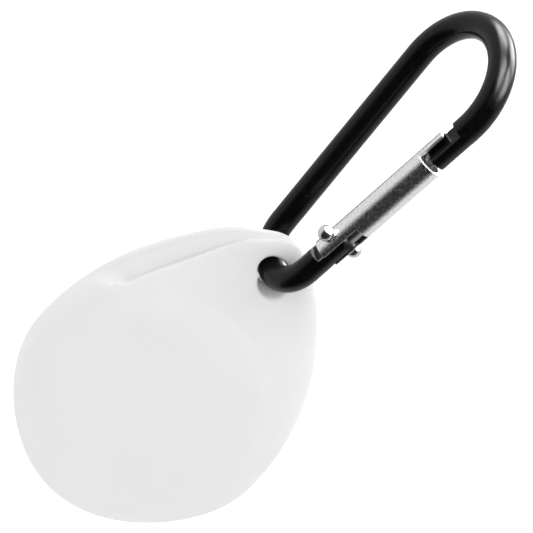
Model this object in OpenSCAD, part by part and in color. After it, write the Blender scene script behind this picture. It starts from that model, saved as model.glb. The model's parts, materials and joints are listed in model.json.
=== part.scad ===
// Soft eyelet case on a pear-shaped spring-gate carabiner.
// Hanging attitude: +Z up, carabiner in the XZ plane, origin inside its top bend.

/* [Carabiner] */
// Diameter of the bent rod
rod_d = 5; // [4.6:0.1:5.2]
// Centreline radius of the small bottom bend
bottom_r = 7.4; // [7.2:0.1:8.2]
// Centreline radius of the wide top bend
top_r = 12; // [11.5:0.1:12.5]
// Distance between the centres of the two bends
bend_gap = 40; // [39:0.5:42]

/* [Gate] */
// Outside diameter of the gate tube
gate_d = 5.6; // [5.4:0.1:5.8]
// Wall of the gate tube
gate_wall = 0.6; // [0.5:0.05:0.65]
// Thickness of the flats milled on both ends of the rod
flat_t = 3; // [2.6:0.1:3]
// Diameter of the hinge rivet
rivet_d = 2; // [1.8:0.1:2.2]
// Diameter of the rivet's ball heads
rivet_head_d = 3; // [2.8:0.1:3.2]

/* [Case] */
// Radius of the round belly of the case
belly_r = 26.4; // [25.8:0.2:27.4]
// Radius of the case round its eyelet
tip_r = 7.1; // [6.8:0.1:7.4]
// Distance from the eyelet down to the centre of the belly
belly_drop = 35; // [34:0.2:36]
// Thickness of the case at the belly
belly_t = 14.6; // [13.5:0.1:15.5]
// Thickness of the case at the eyelet
tip_t = 6.4; // [6:0.1:6.6]
// Diameter of the eyelet, inside its flared rims
eyelet_d = 7.4; // [7.3:0.1:7.8]
// Wall of each half of the case
case_wall = 2; // [1.6:0.1:2.4]
// Width of the open mouth between the two halves
mouth_gap = 2.6; // [2:0.1:3]
// Turn of the case about the vertical, as it hangs
case_turn = 66; // [64:1:78]

/* [Hidden] */
$fn = 48;

bore_d = gate_d - 2 * gate_wall;
run_gap = 0.05;                       // radial running clearance of the pin
case_gap = 0.05;                      // overlap of the pocket past the joint face
blend_bead = 0.02;                    // height of the bead that blends each flank into its bends
// The flanks are tangent to both bends
flank_tilt = asin((top_r - bottom_r) / bend_gap);
flank_len = bend_gap * cos(flank_tilt);
top_z = rod_d / 2 - top_r;            // centre of the top bend, whose inside touches the origin
bottom_z = top_z - bend_gap;
rod_low_z = bottom_z - bottom_r;      // centreline at the lowest point

// Places along the gate flank, from its lower tangent point
rivet_at = 8.3;
tang_end = 10.3;
tube_start = 5;
slot_end = 13.2;
plunger_end = 16.6;
collar_at = 26;
collar_len = 1;
nose_cut = 30.5;
nose_tip = 31.7;
tube_end = 36;
nose_shoulder = 38.5;
tang_r = 2.55;                        // round of the tang's corners about the rivet
hinge_pocket_r = 5;                   // curved step where the hinge flats start
slot_w = flat_t + 0.2;
slot_foot = 1;                        // inner end of the hinge slot, above the rivet
tang_play = 0.2;
land_at = slot_end + 0.4;             // where the plunger's tongue becomes its round body
plunger_play = 0.1;
collar_bore = 2.4;
nose_relief = 1.2;                    // cut from the inner edge of the nose
head_rise = 0.85;                     // centre of each rivet head, outside the tube

// Case, measured in its own upright frame: x across, y through, z up
eyelet_z = rod_low_z - 0.4;
belly_z = eyelet_z - belly_drop;
// One arc joins the belly to the tip, tangent to both and level with the belly's centre
flank_r = (pow(belly_r, 2) + pow(belly_drop, 2) - pow(tip_r, 2)) / (2 * (belly_r - tip_r));
flank_x = flank_r - belly_r;
flank_top = atan2(belly_drop, flank_x);
eyelet_rim_y = 1;                     // where the flared rims start, from the middle plane
eyelet_flare = 0.7;                   // how fast the rims widen
dome_power = 5;                       // how late the faces of the case round off towards their edge
edge_t = 0.3;                         // least height of a half at its edge
mouth_margin = 2;                     // how far the mouth is cut outside the outline, and inside it
mouth_depth = 5;
mouth_low = 17;                       // start of the mouth, above the belly's centre
mouth_stop = 3.5;                     // its end, beside the eyelet and above it
pocket_r = 22;                        // round pocket that the cap lies in
pocket_drop = 3;                      // its centre, above the belly's centre
cap_r = 19;                           // packet of folded film
cap_t = 7.2;

spring_wire = 0.5;
spring_d = 3.8;
spring_turns = 7;
spring_start = plunger_end + 0.05;
spring_stop = collar_at - 0.05;

// Moves children onto the gate flank: local +Z runs up the flank, z = 0 at its lower tangent point
module on_flank() {
    translate([bottom_r * cos(flank_tilt), 0, bottom_z - bottom_r * sin(flank_tilt)])
        rotate([0, flank_tilt, 0]) children();
}

// Round bar along local Z between two heights
module bar(d, z0, z1) {
    translate([0, 0, z0]) cylinder(d = d, h = z1 - z0);
}

// Pin shape along local Y at a height on the flank
module cross_pin(d, length, at) {
    translate([0, 0, at]) rotate([90, 0, 0]) cylinder(d = d, h = length, center = true);
}

// Part of a ring in the XZ plane, from angle a0 over sweep degrees
module bend(r, cz, a0, sweep) {
    translate([0, 0, cz]) rotate([90, 0, 0]) rotate([0, 0, a0])
        rotate_extrude(angle = sweep, $fn = 96) translate([r, 0]) circle(d = rod_d);
}

module carabiner_frame() color([0.05, 0.05, 0.055]) {
    spine_x = bottom_r * cos(flank_tilt);
    difference() {
        union() {
            bend(bottom_r, bottom_z, 180 + flank_tilt, 180 - 2 * flank_tilt);
            bend(top_r, top_z, -flank_tilt, 180 + 2 * flank_tilt);
            for (side = [-1, 1], end = [[bottom_r, bottom_z], [top_r, top_z]])
                translate([side * end[0] * cos(flank_tilt), 0, end[1] - end[0] * sin(flank_tilt)])
                    sphere(d = rod_d + 2 * blend_bead);
            translate([-spine_x, 0, bottom_z - bottom_r * sin(flank_tilt)])
                rotate([0, -flank_tilt, 0]) bar(rod_d, 0, flank_len);
            on_flank() {
                // hinge end, its top corners rounded about the rivet
                intersection() {
                    bar(rod_d, 0, tang_end);
                    union() {
                        cross_pin(2 * tang_r, rod_d + 1, rivet_at);
                        translate([-rod_d, -rod_d, -1]) cube([2 * rod_d, 2 * rod_d, rivet_at + 1]);
                    }
                }
                bar(rod_d, nose_tip, flank_len);
            }
        }
        on_flank() {
            // hinge flats, ending in a curved step about the rivet
            for (side = [-1, 1])
                translate([0, side * (flat_t / 2 + rod_d / 2), 0])
                    cross_pin(2 * hinge_pocket_r, rod_d, rivet_at);
            cross_pin(rivet_d + 2 * run_gap, rod_d + 1, rivet_at);
            // nose tongue: flats on both faces and a relieved inner edge
            for (side = [-1, 1])
                translate([-rod_d, side * (flat_t / 2 + rod_d / 2) - rod_d / 2, nose_tip - 1])
                    cube([2 * rod_d, rod_d, nose_shoulder - nose_tip + 1]);
            translate([-rod_d - nose_relief, -rod_d / 2, nose_tip - 1])
                cube([rod_d, rod_d, nose_shoulder - nose_tip + 1]);
        }
    }
}

module gate_tube() color([0.78, 0.78, 0.8]) on_flank() {
    difference() {
        bar(gate_d, tube_start, tube_end);
        bar(bore_d, tube_start - 1, collar_at);
        bar(bore_d, collar_at + collar_len, tube_end + 1);
        bar(collar_bore, collar_at - 1, collar_at + collar_len + 1);
        // hinge slot: round-ended inside, longer on the outer side
        translate([-gate_d, -slot_w / 2, tube_start - 1])
            cube([2 * gate_d, slot_w, rivet_at - tube_start + 1 + slot_foot]);
        cross_pin(2 * (tang_r + tang_play), slot_w, rivet_at);
        translate([0, -slot_w / 2, tube_start - 1])
            cube([gate_d, slot_w, slot_end - tube_start + 1]);
        cross_pin(rivet_d, gate_d + 1, rivet_at);
        // outer half of the nose end cut back for the tongue
        translate([0, -gate_d, nose_cut]) cube([gate_d, 2 * gate_d, tube_end - nose_cut + 1]);
    }
}

module gate_rivet() color([0.85, 0.85, 0.87]) on_flank() {
    head_y = gate_d / 2 + head_rise;
    head_gap = 0.02;                  // between the heads and the tube
    cross_pin(rivet_d, gate_d + head_rise / 2, rivet_at);
    difference() {
        translate([0, 0, rivet_at]) {
            for (side = [-1, 1]) translate([0, side * head_y, 0]) sphere(d = rivet_head_d);
            rotate([90, 0, 0]) cylinder(d = (rivet_d + rivet_head_d) / 2, h = 2 * head_y, center = true);
        }
        bar(gate_d + 2 * head_gap, rivet_at - rivet_head_d, rivet_at + rivet_head_d);
    }
}

module gate_plunger() color([0.6, 0.6, 0.63]) on_flank() {
    tongue_end = tang_end + 0.05;
    plunger_d = bore_d - 2 * plunger_play;
    bar(plunger_d, land_at, plunger_end);
    intersection() {
        bar(plunger_d, tongue_end, land_at);
        translate([-gate_d, -flat_t / 2, tongue_end]) cube([2 * gate_d, flat_t, slot_end]);
    }
}

// Round wire swept along a helix, rings of `sides` points
module helix(d, wire, turns, z0, z1, per_turn = 16, sides = 8) {
    rings = turns * per_turn;
    r = (d - wire) / 2;
    points = [for (i = [0 : rings], k = [0 : sides - 1])
        let (a = 360 * i / per_turn, b = 360 * k / sides,
             q = r + wire / 2 * cos(b),
             z = z0 + wire / 2 + (z1 - z0 - wire) * i / rings)
        [q * cos(a), q * sin(a), z + wire / 2 * sin(b)]];
    faces = concat(
        [for (i = [0 : rings - 1], k = [0 : sides - 1])
            let (a = i * sides + k, b = i * sides + (k + 1) % sides)
            [a, a + sides, b + sides, b]],
        [[for (k = [0 : sides - 1]) k]],
        [[for (k = [sides - 1 : -1 : 0]) rings * sides + k]]);
    polyhedron(points, faces, convexity = 10);
}

module gate_spring() color([0.7, 0.7, 0.72]) on_flank()
    helix(spring_d, spring_wire, spring_turns, spring_start, spring_stop);

// Places children in the hanging position of the case
module hang() {
    rotate([0, 0, case_turn]) children();
}

// Right half of the tear-drop outline, from the lowest point up to the tip, grown by g
function half_outline(g = 0) = concat(
    [for (a = [-90 : 10 : -10]) [(belly_r + g) * cos(a), belly_z + (belly_r + g) * sin(a)]],
    [for (i = [0 : 8]) let (a = flank_top * i / 8)
        [-flank_x + (flank_r + g) * cos(a), belly_z + (flank_r + g) * sin(a)]],
    [for (i = [1 : 6]) let (a = flank_top + (90 - flank_top) * i / 6)
        [(tip_r + g) * cos(a), eyelet_z + (tip_r + g) * sin(a)]]);

function mirrored(half) = [for (i = [len(half) - 2 : -1 : 1]) [-half[i][0], half[i][1]]];
function outline(g = 0) = concat(half_outline(g), mirrored(half_outline(g)));
function circle_outline(r, cz, n = 36) =
    [for (i = [0 : n - 1]) [r * cos(360 * i / n), cz + r * sin(360 * i / n)]];

// Half thickness of the case before its edges round off: thin at the eyelet, full at the belly
function depth_at(z) = let (s = min(1, max(0, (eyelet_z + 2 - z) / (0.62 * belly_drop))))
    (tip_t + (belly_t - tip_t) * s * s * (3 - 2 * s)) / 2;

// Domed half solid over an outline, on the side y < 0, with round edges
module dome(edge, cz, sink, rings = 7) {
    n = len(edge);
    radius = [for (i = [0 : rings - 1]) sin(90 * (rings - i) / rings)];
    function height(p, k) = -max(edge_t, (depth_at(p[1]) - sink) * sqrt(1 - pow(k, dome_power)));
    points = concat(
        [for (p = edge) [p[0], 0, p[1]]],
        [for (k = radius, p = edge) let (q = [p[0] * k, cz + (p[1] - cz) * k])
            [q[0], height(q, k), q[1]]],
        [[0, -(depth_at(cz) - sink), cz]]);
    last = n * (rings + 1);
    faces = concat(
        [[for (i = [0 : n - 1]) i]],
        [for (j = [0 : rings - 1], i = [0 : n - 1]) let (a = j * n + i, b = j * n + (i + 1) % n)
            [a, a + n, b + n, b]],
        [for (i = [0 : n - 1]) [rings * n + (i + 1) % n, rings * n + i, last]]);
    polyhedron(points, faces, convexity = 6);
}

// Region of the mouth, along the flank on the -x side
module mouth_cut() {
    rotate([90, 0, 0]) linear_extrude(height = mouth_gap, center = true)
        intersection() {
            difference() {
                polygon(outline(mouth_margin));
                polygon(outline(-mouth_depth));
            }
            translate([-belly_r - mouth_margin, belly_z + mouth_low])
                square([belly_r + mouth_margin - mouth_stop, belly_drop + mouth_stop - mouth_low]);
        }
}

// Hole at the tip, with a flared rim on each face
module eyelet() {
    rim = belly_t / 2 - eyelet_rim_y;
    translate([0, 0, eyelet_z]) {
        rotate([90, 0, 0]) cylinder(d = eyelet_d, h = belly_t, center = true);
        for (face = [90, -90]) rotate([face, 0, 0]) translate([0, 0, eyelet_rim_y])
            cylinder(d1 = eyelet_d, d2 = eyelet_d + 2 * eyelet_flare * rim, h = rim);
    }
}

module case_half() difference() {
    dome(outline(), belly_z + pocket_drop, 0);
    translate([0, case_gap, 0])
        dome(circle_outline(pocket_r, belly_z + pocket_drop), belly_z + pocket_drop, case_wall, 5);
    mouth_cut();
    eyelet();
}

module case_front() color([0.94, 0.94, 0.94]) hang() case_half();
module case_rear() color([0.9, 0.9, 0.9]) hang() mirror([0, 1, 0]) case_half();

// Lens-shaped packet of folded film, turned from the profile of its two round faces
module folded_cap() color([0.8, 0.88, 0.95]) hang() {
    steps = 10;
    face_r = (pow(cap_r, 2) + pow(cap_t / 2, 2)) / cap_t;
    arc = [for (i = [0 : steps]) let (x = cap_r * sin(90 * i / steps))
        [x, sqrt(pow(face_r, 2) - pow(x, 2)) - face_r + cap_t / 2]];
    profile = concat(arc, [for (i = [steps - 1 : -1 : 0]) [arc[i][0], -arc[i][1]]]);
    translate([0, 0, belly_z + pocket_drop]) rotate([90, 0, 0]) rotate_extrude($fn = 72) polygon(profile);
}

carabiner_frame();
gate_tube();
gate_rivet();
gate_plunger();
gate_spring();
case_front();
case_rear();
folded_cap();
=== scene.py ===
"""Soft eyelet case hanging from a pear-shaped spring-gate carabiner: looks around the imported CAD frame."""

import json
import math

import bmesh
import bpy
import numpy as np
from mathutils import Matrix, Vector


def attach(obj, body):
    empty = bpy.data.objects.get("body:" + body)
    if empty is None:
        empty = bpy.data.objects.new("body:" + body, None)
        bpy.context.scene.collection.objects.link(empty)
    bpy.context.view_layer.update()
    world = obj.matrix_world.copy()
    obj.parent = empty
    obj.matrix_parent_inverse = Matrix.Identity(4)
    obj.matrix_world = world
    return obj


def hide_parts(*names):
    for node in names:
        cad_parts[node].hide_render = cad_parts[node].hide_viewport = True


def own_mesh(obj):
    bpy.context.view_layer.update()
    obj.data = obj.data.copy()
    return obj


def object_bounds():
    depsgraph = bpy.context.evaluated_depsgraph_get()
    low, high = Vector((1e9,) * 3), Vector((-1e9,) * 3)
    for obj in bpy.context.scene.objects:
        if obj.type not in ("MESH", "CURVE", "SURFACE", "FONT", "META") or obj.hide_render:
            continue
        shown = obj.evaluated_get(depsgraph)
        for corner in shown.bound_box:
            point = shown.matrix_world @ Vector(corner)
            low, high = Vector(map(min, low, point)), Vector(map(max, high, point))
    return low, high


MM = 0.001
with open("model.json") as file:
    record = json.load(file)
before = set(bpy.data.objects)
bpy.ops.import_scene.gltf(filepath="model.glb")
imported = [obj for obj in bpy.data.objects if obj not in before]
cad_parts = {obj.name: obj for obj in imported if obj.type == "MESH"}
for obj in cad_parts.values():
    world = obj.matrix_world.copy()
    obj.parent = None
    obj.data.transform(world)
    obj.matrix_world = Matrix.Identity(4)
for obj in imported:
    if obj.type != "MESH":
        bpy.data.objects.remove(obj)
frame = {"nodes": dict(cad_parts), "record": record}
cad_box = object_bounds()
joints = {j["name"]: j for j in frame["record"]["behaviour"]["joints"]}

# ---------------------------------------------------------------- driving sizes, mm

BELLY_R = 26.5            # half the width of the case
TIP_R = 7.3               # round of the case about its eyelet
DROP = 35.6               # eyelet centre down to the belly's centre
CHIN = 0.95               # the belly is flatter than round by this much, on both sides of its lowest point
LEAN = 0.35               # the belly hangs this far to the side of the eyelet
SHOULDER = 0.8            # fullness of the mouth's rear rim, beside the eyelet
BELLY_T, TIP_T = 14.6, 5.9    # thickness at the belly and at the eyelet
ROD_R = 2.5
ROD_RISE, ROD_BEND = 0.4, 7.4     # the rod's centreline above the eyelet's, and its bend
SWING = math.radians(60)
WALL = 2.0
FLANK_R = (BELLY_R**2 + DROP**2 - TIP_R**2) / (2 * (BELLY_R - TIP_R))
FLANK_X = FLANK_R - BELLY_R
FLANK_TOP = math.atan2(DROP, FLANK_X)
PEBBLE_POWER = 2.25       # 2 is an ellipse in section, more is squarer
MOUTH_START, MOUTH_END = 3, 116       # places along the flank, degrees
MOUTH_FADE_IN, MOUTH_FADE_OUT = 12, 11
SLIT_MIDDLE, SLIT_REACH = 76, 25      # the narrow way in, degrees either side of its middle
SLIT_HALF, SLIT_DEPTH = 0.3, 9
EYELET_PLAY = 0.1         # between the swinging rod and its hole
POCKET_Z = 3.0 - DROP     # centre of the round pocket, from the eyelet
POCKET_R = 22.0
CAP_R = 19.0              # the folded packet

EYELET = Vector(joints["case_swing"]["pos_m"])
CASE_AXIS = Vector(joints["case_swing"]["axis"])     # through the eyelet, out of the rear face
RIVET = Vector(joints["gate_swing"]["pos_m"])
FLANK = Vector(joints["plunger_slide"]["axis"])      # up the gate

# How far the rod drifts sideways per mm through the eyelet
SLANT = abs(CASE_AXIS.y / CASE_AXIS.x)

# The case's own axes: x across, y from front to back, z up
CASE_ROT = Matrix.Rotation(math.atan2(CASE_AXIS.y, CASE_AXIS.x) - math.pi / 2, 3, "Z")
# The gate's own axes: x outwards, y along the rivet, z up the tube
GATE_ROT = Matrix.Rotation(math.asin(FLANK.x), 3, "Y")


# ---------------------------------------------------------------- shapes as distance fields

def mouth_angle(x, z):
    """Place along the mouth's flank, in degrees: 0 above the eyelet, about 110 at the mouth's low end."""
    return np.degrees(np.arctan2(-x, z + 12))


def shoulder(x, z):
    return SHOULDER * np.exp(-(((mouth_angle(x, z) - 38) / 26) ** 2))


def outline_distance(x, z):
    """Distance from the tear-drop outline, negative inside; the origin is the eyelet's centre."""
    side = np.abs(x + LEAN * z / DROP)
    angle = np.arctan2(z + DROP, side + FLANK_X)
    below = np.clip(np.arctan2(z + DROP, side), -math.pi / 2, 0)
    belly = np.hypot(side, z + DROP) - BELLY_R + CHIN * np.sin(2 * below) ** 2
    flank = np.hypot(side + FLANK_X, z + DROP) - FLANK_R
    tip = np.hypot(side, z) - TIP_R
    return np.where(angle < 0, belly, np.where(angle > FLANK_TOP, tip, flank)) - shoulder(x, z)


def smooth_step(t):
    t = np.clip(t, 0, 1)
    return t * t * (3 - 2 * t)


def smooth_max(a, b, k):
    h = np.clip(0.5 + 0.5 * (a - b) / k, 0, 1)
    return b + (a - b) * h + k * h * (1 - h)


def fullness(z):
    """0 at the eyelet, 1 from the belly down."""
    return smooth_step((2 - z) / (0.62 * DROP))


def pebble(x, y, z, inset):
    """The case's rounded body, shrunk by inset."""
    full = fullness(z)
    half = (TIP_T + (BELLY_T - TIP_T) * full) / 2
    swell = smooth_step((POCKET_R + 0.8 - np.hypot(x, z - POCKET_Z)) / 3.2)
    half = half - 0.35 + 0.35 * swell - inset
    reach = 3.4 + 8.6 * full - 0.5 * inset
    edge = 1 + (outline_distance(x, z) + inset) / reach
    a, b = np.clip(edge, 0, None), np.abs(y - 0.3 * (1 - full)) / half
    radius = (a**PEBBLE_POWER + b**PEBBLE_POWER) ** (1 / PEBBLE_POWER)
    return (radius - 1) * (a * reach + b * half) / (a + b + 1e-6)


def mouth(x, y, z):
    """Side mouth: the front lip is cut lower than the rear rim, with a crease and a narrow way in behind."""
    angle = mouth_angle(x, z)
    crease = -0.2 - 0.04 * np.clip(angle, 0, 105)
    rim = 0.3 + 0.012 * np.clip(angle, 0, 95)
    ends = (smooth_step((angle - MOUTH_START) / MOUTH_FADE_IN)
            * smooth_step((MOUTH_END - angle) / MOUTH_FADE_OUT))
    lip_drop = (0.25 + 2.9 * smooth_step((angle - 10) / 80) + shoulder(x, z)) * ends
    depth = lip_drop + (0.7 + 1.0 * smooth_step((angle - 15) / 40)) * ends
    slope = depth / (rim - crease)
    behind = smooth_step((y - crease + 0.35) / 0.6)
    rise = np.clip((rim - y) / (rim - crease), -1, 1.2)
    cut = lip_drop * (1 - behind) + depth * np.where(rise > 0, np.abs(rise) ** 1.35, rise) * behind
    inward = -outline_distance(x, z)
    scoop = (inward - cut) / np.sqrt(1 + slope**2)
    slit = np.maximum(np.abs(y - crease - 0.2) - SLIT_HALF, inward - SLIT_DEPTH)
    slit = np.maximum(slit, np.abs(angle - SLIT_MIDDLE) - SLIT_REACH)
    far_side = np.where(angle < 0, 5.0, -5.0)
    return np.maximum(np.minimum(scoop, slit), far_side)


def pocket(x, y, z):
    """The round hollow between the two halves."""
    return smooth_max(pebble(x, y, z, WALL), np.hypot(x, z - POCKET_Z) - POCKET_R, 1.5)


def eyelet_hole(x, y, z):
    """The room that the bent rod sweeps in the case's soft tip over the whole swing, and a little more."""
    aside = -SLANT * y
    up = ROD_RISE + y * y * (1 + SLANT**2) / (2 * ROD_BEND)
    away, lean = np.hypot(aside, up), np.arctan2(aside, up)
    turn = np.arctan2(x, z) - lean
    turn = lean + np.clip((turn + np.pi) % (2 * np.pi) - np.pi, -SWING, SWING)
    stretch = np.sqrt(1 + SLANT**2 + (y / ROD_BEND) ** 2)
    return np.hypot(x - away * np.sin(turn), z - away * np.cos(turn)) - ROD_R * stretch - EYELET_PLAY


def case_shell(x, y, z):
    body = pebble(x, y, z, 0)
    body = smooth_max(body, -pocket(x, y, z), 0.4)
    body = smooth_max(body, -mouth(x, y, z), 0.45)
    return smooth_max(body, -eyelet_hole(x, y, z), 0.35)


def surface_net(field, low, high, step):
    """Points and quads on the zero surface of field, on a regular grid."""
    axes = [np.arange(a, b + step, step) for a, b in zip(low, high)]
    f = field(*np.meshgrid(*axes, indexing="ij"))
    cells = tuple(n - 1 for n in f.shape)
    total, count = np.zeros(cells + (3,)), np.zeros(cells)
    crossings = []
    for axis in range(3):
        lo = [slice(None)] * 3
        hi = [slice(None)] * 3
        lo[axis], hi[axis] = slice(0, -1), slice(1, None)
        a, b = f[tuple(lo)], f[tuple(hi)]
        cross = (a < 0) != (b < 0)
        t = np.where(cross, a / np.where(cross, a - b, 1), 0)
        crossings.append((cross, a < 0))
        o1, o2 = (axis + 1) % 3, (axis + 2) % 3
        for d1 in (0, 1):
            for d2 in (0, 1):
                cut = [slice(None)] * 3
                cut[o1] = slice(d1, cells[o1] + d1)
                cut[o2] = slice(d2, cells[o2] + d2)
                hit = cross[tuple(cut)]
                total[..., axis] += t[tuple(cut)]
                total[..., o1] += hit * d1
                total[..., o2] += hit * d2
                count += hit
    active = count > 0
    ids = np.full(cells, -1)
    ids[active] = np.arange(active.sum())
    index = np.argwhere(active)
    points = np.array(low) + (index + total[active] / count[active][:, None]) * step
    quads = []
    for axis in range(3):
        cross, rising = crossings[axis]
        o1, o2 = (axis + 1) % 3, (axis + 2) % 3
        inner = [slice(None)] * 3
        inner[o1], inner[o2] = slice(1, cells[o1]), slice(1, cells[o2])
        found = np.argwhere(cross[tuple(inner)])
        found[:, o1] += 1
        found[:, o2] += 1
        corners = []
        for d1, d2 in ((-1, -1), (0, -1), (0, 0), (-1, 0)):
            c = found.copy()
            c[:, o1] += d1
            c[:, o2] += d2
            corners.append(ids[tuple(c.T)])
        quad = np.stack(corners, 1)
        flip = ~rising[tuple(found.T)]
        quad[flip] = quad[flip][:, ::-1]
        quads.append(quad)
    return points, np.concatenate(quads)


def settle(points, field, rounds=2):
    """Moves points on to the zero surface of field along its gradient."""
    d = 0.05
    for _ in range(rounds):
        x, y, z = points.T
        value = field(x, y, z)
        slope = np.stack([
            field(x + d, y, z) - field(x - d, y, z),
            field(x, y + d, z) - field(x, y - d, z),
            field(x, y, z + d) - field(x, y, z - d)], 1) / (2 * d)
        move = value / np.maximum((slope**2).sum(1), 0.2)
        points = points - np.clip(move, -0.2, 0.2)[:, None] * slope
    return points


# ---------------------------------------------------------------- mesh helpers

def new_mesh(name, points, faces, smooth_angle=None):
    mesh = bpy.data.meshes.new(name)
    mesh.from_pydata([tuple(p) for p in points], [], [tuple(int(i) for i in f) for f in faces])
    mesh.validate()
    mesh.update()
    obj = bpy.data.objects.new(name, mesh)
    bpy.context.collection.objects.link(obj)
    mesh.shade_smooth()
    if smooth_angle:
        mark_sharp(mesh, smooth_angle)
    return obj


def mark_sharp(mesh, degrees):
    """Keeps edges sharper than the angle crisp under smooth shading."""
    bm = bmesh.new()
    bm.from_mesh(mesh)
    limit = math.radians(degrees)
    for edge in bm.edges:
        edge.smooth = len(edge.link_faces) != 2 or edge.calc_face_angle(0) < limit
    bm.to_mesh(mesh)
    bm.free()


def in_case(points):
    """Case coordinates, mm from the eyelet, to the row frame in metres."""
    return points @ np.array(CASE_ROT).T * MM + np.array(EYELET)


def on_gate(points):
    """Gate coordinates, mm from the rivet, to the row frame in metres."""
    return points @ np.array(GATE_ROT).T * MM + np.array(RIVET)


# ---------------------------------------------------------------- materials

def material(name, base, roughness, metallic=0.0, **extra):
    mat = bpy.data.materials.new(name)
    mat.use_nodes = True
    tree = mat.node_tree
    shader = tree.nodes["Principled BSDF"]
    shader.inputs["Base Color"].default_value = (*base, 1)
    shader.inputs["Roughness"].default_value = roughness
    shader.inputs["Metallic"].default_value = metallic
    for key, value in extra.items():
        shader.inputs[key.replace("_", " ")].default_value = value
    coords = tree.nodes.new("ShaderNodeTexCoord")
    return mat, tree, shader, coords.outputs["Object"]


def noise(tree, coords, scale, detail=3.0, roughness=0.55, stretch=None):
    if stretch:
        mapping = tree.nodes.new("ShaderNodeMapping")
        mapping.inputs["Scale"].default_value = stretch
        tree.links.new(coords, mapping.inputs["Vector"])
        coords = mapping.outputs["Vector"]
    node = tree.nodes.new("ShaderNodeTexNoise")
    node.inputs["Scale"].default_value = scale
    node.inputs["Detail"].default_value = detail
    node.inputs["Roughness"].default_value = roughness
    tree.links.new(coords, node.inputs["Vector"])
    return node.outputs["Fac"]


def ramp(tree, factor, stops):
    node = tree.nodes.new("ShaderNodeValToRGB")
    elements = node.color_ramp.elements
    while len(elements) < len(stops):
        elements.new(0.5)
    for element, (place, grey) in zip(elements, stops):
        element.position = place
        element.color = (*grey, 1) if isinstance(grey, tuple) else (grey, grey, grey, 1)
    tree.links.new(factor, node.inputs["Fac"])
    return node.outputs["Color"]


def bump(tree, shader, height, strength, distance, after=None):
    node = tree.nodes.new("ShaderNodeBump")
    node.inputs["Strength"].default_value = strength
    node.inputs["Distance"].default_value = distance
    tree.links.new(height, node.inputs["Height"])
    if after:
        tree.links.new(after, node.inputs["Normal"])
    tree.links.new(node.outputs["Normal"], shader.inputs["Normal"])
    return node.outputs["Normal"]


def soft_edges(tree, radius):
    """Normals that catch the light along edges, as a fine burr or chamfer does."""
    node = tree.nodes.new("ShaderNodeBevel")
    node.samples = 6
    node.inputs["Radius"].default_value = radius
    return node.outputs["Normal"]


def cut_faces(tree):
    """1 on faces cut or milled flat near the gate, 0 on round faces that face away from its axis."""
    def vector(operation, a, b=None):
        node = tree.nodes.new("ShaderNodeVectorMath")
        node.operation = operation
        for socket, value in zip(node.inputs, (a, b)):
            if isinstance(value, Vector):
                socket.default_value = value
            elif value is not None:
                tree.links.new(value, socket)
        return node.outputs["Value" if operation == "DOT_PRODUCT" else "Vector"]

    coords = tree.nodes.new("ShaderNodeTexCoord").outputs
    place = vector("SUBTRACT", coords["Object"], RIVET)
    outwards = vector("NORMALIZE", vector("SUBTRACT", place, vector("PROJECT", place, FLANK)))
    facing = tree.nodes.new("ShaderNodeMath")
    facing.operation = "ABSOLUTE"
    tree.links.new(vector("DOT_PRODUCT", outwards, coords["Normal"]), facing.inputs[0])
    return ramp(tree, facing.outputs[0], ((0.5, 1.0), (0.7, 0.0)))


def blend_colours(tree, factor, a, b):
    node = tree.nodes.new("ShaderNodeMix")
    node.data_type = "RGBA"
    tree.links.new(factor, node.inputs[0])
    for socket, value in ((node.inputs[6], a), (node.inputs[7], b)):
        if isinstance(value, tuple):
            socket.default_value = (*value, 1)
        else:
            tree.links.new(value, socket)
    return node.outputs[2]


def white_silicone():
    mat, tree, shader, coords = material(
        "white_silicone", (0.67, 0.67, 0.67), 0.55, Specular_IOR_Level=0.12,
        Subsurface_Weight=0.2, Subsurface_Scale=0.001, Sheen_Weight=0.08, Sheen_Roughness=0.6)
    shader.inputs["Subsurface Radius"].default_value = (1.0, 0.95, 0.9)
    cloud = noise(tree, coords, 60, 2)
    tree.links.new(ramp(tree, cloud, ((0.3, (0.664, 0.665, 0.666)), (0.7, (0.682, 0.682, 0.680)))),
                   shader.inputs["Base Color"])
    tree.links.new(ramp(tree, noise(tree, coords, 900, 4), ((0.3, 0.44), (0.75, 0.58))),
                   shader.inputs["Roughness"])
    skin = bump(tree, shader, noise(tree, coords, 5200, 2), 0.12, 0.00004)
    bump(tree, shader, noise(tree, coords, 140, 2), 0.10, 0.0004, skin)
    return mat


def black_anodised():
    """Glossy black, with mottled light grey on the flats milled at the hinge: partly their bare metal,
    partly painted light that lifts the shade on them.
    """
    mat, tree, shader, coords = material(
        "black_anodised_rod", (0.002, 0.002, 0.002), 0.24, Specular_IOR_Level=0.22)
    dust = ramp(tree, noise(tree, coords, 1400, 5, 0.65),
                ((0.35, 0.0008), (0.72, (0.0035, 0.0035, 0.0038))))
    # Light grey on the milled flats: partly bare metal, partly painted light, made light enough to lift the
    # shade that the tube end casts there.
    bare_metal_and_painted_light = ramp(tree, noise(tree, coords, 2200, 5, 0.75), ((0.34, 0.15), (0.62, 0.85)))
    distance = tree.nodes.new("ShaderNodeVectorMath")
    distance.operation = "DISTANCE"
    tree.links.new(coords, distance.inputs[0])
    distance.inputs[1].default_value = RIVET
    near = ramp(tree, distance.outputs["Value"], ((0.0062, 1.0), (0.0070, 0.0)))
    milled_flats_near_hinge = tree.nodes.new("ShaderNodeMath")
    milled_flats_near_hinge.operation = "MULTIPLY"
    tree.links.new(near, milled_flats_near_hinge.inputs[0])
    tree.links.new(cut_faces(tree), milled_flats_near_hinge.inputs[1])
    tree.links.new(blend_colours(tree, milled_flats_near_hinge.outputs[0], dust, bare_metal_and_painted_light), shader.inputs["Base Color"])
    tree.links.new(ramp(tree, noise(tree, coords, 500, 4), ((0.3, 0.17), (0.75, 0.29))),
                   shader.inputs["Roughness"])
    bump(tree, shader, noise(tree, coords, 900, 3), 0.25, 0.00005, soft_edges(tree, 0.0002))
    return mat


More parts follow.
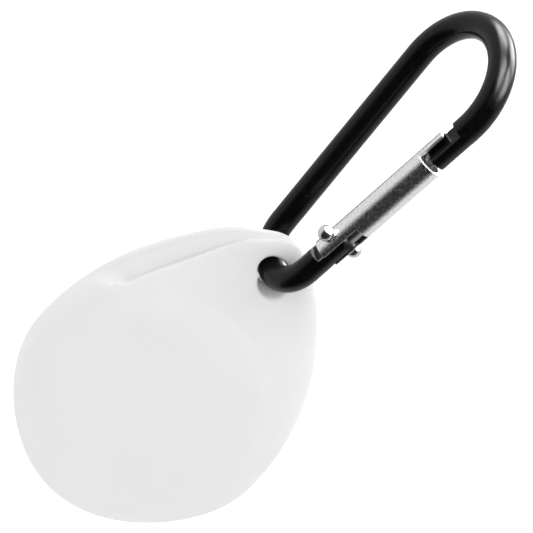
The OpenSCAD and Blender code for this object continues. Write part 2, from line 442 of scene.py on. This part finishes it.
def bare_aluminium():
    mat, tree, shader, coords = material("bare_aluminium", (0.72, 0.72, 0.73), 0.3, 1.0)
    blotch = noise(tree, coords, 2600, 5, 0.75)
    drawn = ramp(tree, blotch, ((0.36, (0.66, 0.66, 0.67)), (0.56, (0.84, 0.84, 0.85))))
    cut = cut_faces(tree)
    # Cut faces get a near-white base (0.97): partly the brighter bare cut metal, partly a painted highlight
    # for the glints along the cut edges.
    tree.links.new(blend_colours(tree, cut, drawn, (0.97, 0.97, 0.97)), shader.inputs["Base Color"])
    grain = ramp(tree, noise(tree, coords, 2400, 5, 0.8), ((0.48, 0.15), (0.68, 0.5)))
    tree.links.new(blend_colours(tree, cut, grain, (0.5, 0.5, 0.5)), shader.inputs["Roughness"])
    pits = bump(tree, shader, noise(tree, coords, 3000, 4, 0.75), 0.55, 0.00006, soft_edges(tree, 0.00014))
    bump(tree, shader, noise(tree, coords, 240, 2, stretch=(1, 1, 0.25)), 0.2, 0.0003, pits)
    return mat


def bright_metal(name, base, roughness, grain):
    mat, tree, shader, coords = material(name, base, roughness, 1.0)
    tree.links.new(ramp(tree, noise(tree, coords, grain, 4),
                        ((0.3, tuple(c * 0.86 for c in base)), (0.7, base))), shader.inputs["Base Color"])
    tree.links.new(ramp(tree, noise(tree, coords, grain * 0.6, 3),
                        ((0.3, roughness * 0.7), (0.75, roughness * 1.5))), shader.inputs["Roughness"])
    bump(tree, shader, noise(tree, coords, grain, 3), 0.12, 0.00004, soft_edges(tree, 0.00012))
    return mat


def cap_film():
    mat, tree, shader, coords = material(
        "cap_film", (0.80, 0.86, 0.90), 0.22, Transmission_Weight=0.35, IOR=1.46, Coat_Weight=0.4)
    tree.links.new(ramp(tree, noise(tree, coords, 300, 3),
                        ((0.3, (0.76, 0.83, 0.88)), (0.7, (0.88, 0.92, 0.95)))), shader.inputs["Base Color"])
    bump(tree, shader, noise(tree, coords, 700, 3, stretch=(1, 1, 0.3)), 0.35, 0.0002)
    return mat


def studio_white():
    mat, tree, shader, coords = material("studio_white", (0.9, 0.9, 0.9), 0.9)
    tree.links.new(ramp(tree, noise(tree, coords, 3, 2), ((0.2, 0.895), (0.8, 0.905))),
                   shader.inputs["Base Color"])
    return mat


SILICONE = white_silicone()
NODE_LOOKS = {
    "carabiner_frame": black_anodised(),
    "gate_tube": bare_aluminium(),
    "gate_rivet": bright_metal("bright_rivet", (0.66, 0.66, 0.67), 0.16, 1500),
    # The plunger's metal is kept dark (0.34): painted shade for the dark inside of the tube seen through the
    # slot.
    "gate_plunger": bright_metal("plunger_metal", (0.34, 0.34, 0.35), 0.25, 2200),
}
SPRING_WIRE = bright_metal("spring_wire", (0.55, 0.55, 0.57), 0.25, 2500)
FILM = cap_film()


def dress(obj, mat):
    obj.data.materials.clear()
    obj.data.materials.append(mat)


for node, mat in NODE_LOOKS.items():
    for slot in frame["nodes"][node].material_slots:
        slot.material = mat


# ---------------------------------------------------------------- the case's two halves

def case_halves():
    """The whole case as one surface, cut into its front and rear halves on the middle plane."""
    step = 0.35
    reach = np.array((BELLY_R, BELLY_T / 2 + 0.2, 0)) + 1.5
    points, quads = surface_net(case_shell, -reach - (0, 0, DROP + BELLY_R), reach + (0, 0, TIP_R), step)
    points = settle(points, case_shell)
    for name, node, side in (("front_panel", "case_front", -1), ("rear_panel", "case_rear", 1)):
        piece = new_mesh(name, points, quads)
        bm = bmesh.new()
        bm.from_mesh(piece.data)
        cut = bmesh.ops.bisect_plane(
            bm, geom=bm.verts[:] + bm.edges[:] + bm.faces[:], dist=0.01, plane_co=(0, 0, 0),
            plane_no=(0, -side, 0), clear_outer=True)
        rim = [e for e in cut["geom_cut"] if isinstance(e, bmesh.types.BMEdge)]
        bmesh.ops.triangle_fill(bm, use_beauty=True, use_dissolve=False, edges=rim, normal=(0, -side, 0))
        bmesh.ops.recalc_face_normals(bm, faces=bm.faces)
        bm.to_mesh(piece.data)
        bm.free()
        local = np.empty(len(piece.data.vertices) * 3)
        piece.data.vertices.foreach_get("co", local)
        piece.data.vertices.foreach_set("co", in_case(local.reshape(-1, 3)).ravel())
        piece.data.shade_smooth()
        mark_sharp(piece.data, 40)
        dress(piece, SILICONE)
        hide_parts(node)
        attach(piece, "case")


case_halves()


# ---------------------------------------------------------------- the folded cap in the pocket

def folded_film():
    """One strip of film folded to and fro into a lens-shaped packet, its folds at the two sides."""
    layers, pitch, thick = 24, 0.26, 0.06
    columns, rows = 14, 16
    radius = CAP_R - 0.4
    rng = np.random.default_rng(7)
    waves = rng.uniform(-1, 1, (layers, 3))
    rings = []
    for layer in range(layers):
        y0 = (layer - (layers - 1) / 2) * pitch
        reach = math.sqrt(max(0.15, 1 - (abs(y0) / (layers * pitch / 2 * 1.12)) ** 2))
        across = np.linspace(-1, 1, columns)
        if layer % 2:
            across = across[::-1]
        for c in across:
            x = radius * reach * math.sin(c * math.pi / 2)
            chord = math.sqrt(max(0.02, (radius * reach) ** 2 - x * x * 0.94))
            zs = np.linspace(-1, 1, rows) * chord
            flat = 1 - abs(c) ** 6
            ripple = 0.07 * flat * (np.sin(zs * 0.7 + waves[layer, 0] * 3)
                                    + np.sin(x * 0.5 + waves[layer, 1] * 3))
            dome = 1 - (x * x + zs * zs) / (radius * 1.25) ** 2
            rings.append(np.stack([x + zs * 0, (y0 + ripple) * dome, zs + POCKET_Z], 1))
    points = np.concatenate(rings)
    n = len(rings)
    quads = [(i * rows + j, i * rows + j + 1, (i + 1) * rows + j + 1, (i + 1) * rows + j)
             for i in range(n - 1) for j in range(rows - 1)]
    piece = new_mesh("folded_film_cap", in_case(points), quads)
    dress(piece, FILM)
    solid = piece.modifiers.new("film", "SOLIDIFY")
    solid.thickness = thick * MM
    solid.offset = 0
    bpy.context.view_layer.objects.active = piece
    bpy.ops.object.select_all(action="DESELECT")
    piece.select_set(True)
    bpy.ops.object.modifier_apply(modifier="film")
    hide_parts("folded_cap")
    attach(piece, "case")


folded_film()


# ---------------------------------------------------------------- the gate's coil spring

def gate_spring():
    """Round wire wound in the tube, from the plunger to the collar; its turns lie a little closer in the
    middle than at the ends.
    """
    bottom, top = 8.38, 17.62
    turns, per_turn, sides = 8, 28, 10
    coil_r, wire_r = 1.65, 0.25
    rings = turns * per_turn
    angle = np.linspace(0, 2 * math.pi * turns, rings)
    t = np.linspace(0, 1, rings)
    climb = t + 0.045 * np.sin(2 * math.pi * t)
    z = bottom + (top - bottom) * climb
    points = []
    for a, h in zip(angle, z):
        for k in range(sides):
            b = 2 * math.pi * k / sides
            r = coil_r + wire_r * math.cos(b)
            points.append((r * math.cos(a), r * math.sin(a), h + wire_r * math.sin(b)))
    quads = [(i * sides + k, i * sides + (k + 1) % sides,
              (i + 1) * sides + (k + 1) % sides, (i + 1) * sides + k)
             for i in range(rings - 1) for k in range(sides)]
    caps = [tuple(range(sides))[::-1], tuple((rings - 1) * sides + k for k in range(sides))]
    piece = new_mesh("coil_spring", on_gate(np.array(points)), quads + caps)
    dress(piece, SPRING_WIRE)
    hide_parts("gate_spring")
    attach(piece, "gate")
    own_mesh(piece)


gate_spring()


# ---------------------------------------------------------------- studio

def studio_floor():
    """Plain pale floor, far enough below that no view from the side or from under the part is blocked."""
    segments, radius, below = 64, 5, 0.56
    points = [(radius * math.cos(2 * math.pi * i / segments), radius * math.sin(2 * math.pi * i / segments),
               cad_box[0].z - below) for i in range(segments)]
    floor = new_mesh("studio_floor", points, [tuple(range(segments))])
    dress(floor, studio_white())
    floor.visible_glossy = False


def area_light(name, place, target, size, power):
    light = bpy.data.lights.new(name, "AREA")
    light.shape = "DISK"
    light.size = size
    light.energy = power
    obj = bpy.data.objects.new(name, light)
    bpy.context.collection.objects.link(obj)
    obj.location = place
    obj.rotation_euler = (Vector(target) - Vector(place)).to_track_quat("-Z", "Y").to_euler()


AZIMUTH, ELEVATION, ROLL = (math.radians(a) for a in (50.35, 18.08, 43.79))
VIEW = Vector((math.sin(AZIMUTH) * math.cos(ELEVATION), -math.cos(AZIMUTH) * math.cos(ELEVATION),
               math.sin(ELEVATION)))
SIDE = Vector((math.cos(AZIMUTH), math.sin(AZIMUTH), 0))
RISE = VIEW.cross(SIDE)
AIM = Vector((-1.68, 0, -57.54)) * MM
FOCAL = 2000 / 533            # focal length in image widths
DISTANCE = 2000 / 5.42 * MM
AMBIENT = 1.2             # light that falls on matt surfaces
SOFTBOX = 22.0            # brightness of the overhead boxes in reflections


def camera():
    data = bpy.data.cameras.new("camera")
    data.sensor_width = 36
    data.lens = 36 * FOCAL
    data.clip_start, data.clip_end = 0.01, 20
    obj = bpy.data.objects.new("camera", data)
    bpy.context.collection.objects.link(obj)
    right = SIDE * math.cos(ROLL) + RISE * math.sin(ROLL)
    up = RISE * math.cos(ROLL) - SIDE * math.sin(ROLL)
    turn = Matrix((right, up, VIEW)).transposed()
    obj.matrix_world = Matrix.Translation(AIM + VIEW * DISTANCE) @ turn.to_4x4()
    bpy.context.scene.camera = obj


def studio_world():
    """Even white light all round; polished pieces reflect overhead boxes and a dark area by the camera."""
    world = bpy.data.worlds.new("studio")
    bpy.context.scene.world = world
    world.use_nodes = True
    tree = world.node_tree
    background = tree.nodes["Background"]

    def math_node(operation, a, b=0.0, c=None):
        node = tree.nodes.new("ShaderNodeMath")
        node.operation = operation
        for socket, value in zip(node.inputs, (a, b) if c is None else (a, b, c)):
            if isinstance(value, (int, float)):
                socket.default_value = value
            else:
                tree.links.new(value, socket)
        return node.outputs[0]

    def soft_step(value, low, high):
        node = tree.nodes.new("ShaderNodeMapRange")
        node.interpolation_type = "SMOOTHSTEP"
        node.inputs["From Min"].default_value = low
        node.inputs["From Max"].default_value = high
        tree.links.new(value, node.inputs["Value"])
        return node.outputs["Result"]

    direction = tree.nodes.new("ShaderNodeTexCoord").outputs["Generated"]
    split = tree.nodes.new("ShaderNodeSeparateXYZ")
    tree.links.new(direction, split.inputs[0])
    x, y, z = split.outputs
    # From -Y towards +X, as the camera's azimuth
    heading = math_node("ARCTAN2", x, math_node("MULTIPLY", y, -1))
    beside = math_node("COSINE", math_node("SUBTRACT", heading, AZIMUTH + math.radians(12)))

    boxes = math_node("MULTIPLY", soft_step(z, 0.52, 0.72), soft_step(z, 0.985, 0.93))
    split_boxes = math_node("MULTIPLY_ADD", math_node("COSINE", math_node(
        "MULTIPLY", math_node("SUBTRACT", heading, math.radians(25)), 4)), 0.42, 0.58)
    overhead = math_node("MULTIPLY", math_node("MULTIPLY", boxes, split_boxes), SOFTBOX)
    surround = math_node("MULTIPLY_ADD", soft_step(beside, 0.72, 0.2), 0.86, 0.03)
    reflected = math_node("ADD", overhead, surround)

    glossy = tree.nodes.new("ShaderNodeLightPath").outputs["Is Glossy Ray"]
    strength = tree.nodes.new("ShaderNodeMix")
    strength.data_type = "FLOAT"
    strength.inputs["A"].default_value = AMBIENT
    tree.links.new(glossy, strength.inputs["Factor"])
    tree.links.new(reflected, strength.inputs["B"])
    background.inputs["Color"].default_value = (1, 1, 1, 1)
    tree.links.new(strength.outputs["Result"], background.inputs["Strength"])


studio_floor()
camera()
studio_world()
area_light("key", AIM + VIEW * 0.25 + RISE * 0.8 + SIDE * 0.25, AIM, 0.6, 1.2)
bpy.context.scene.view_settings.view_transform = "Standard"
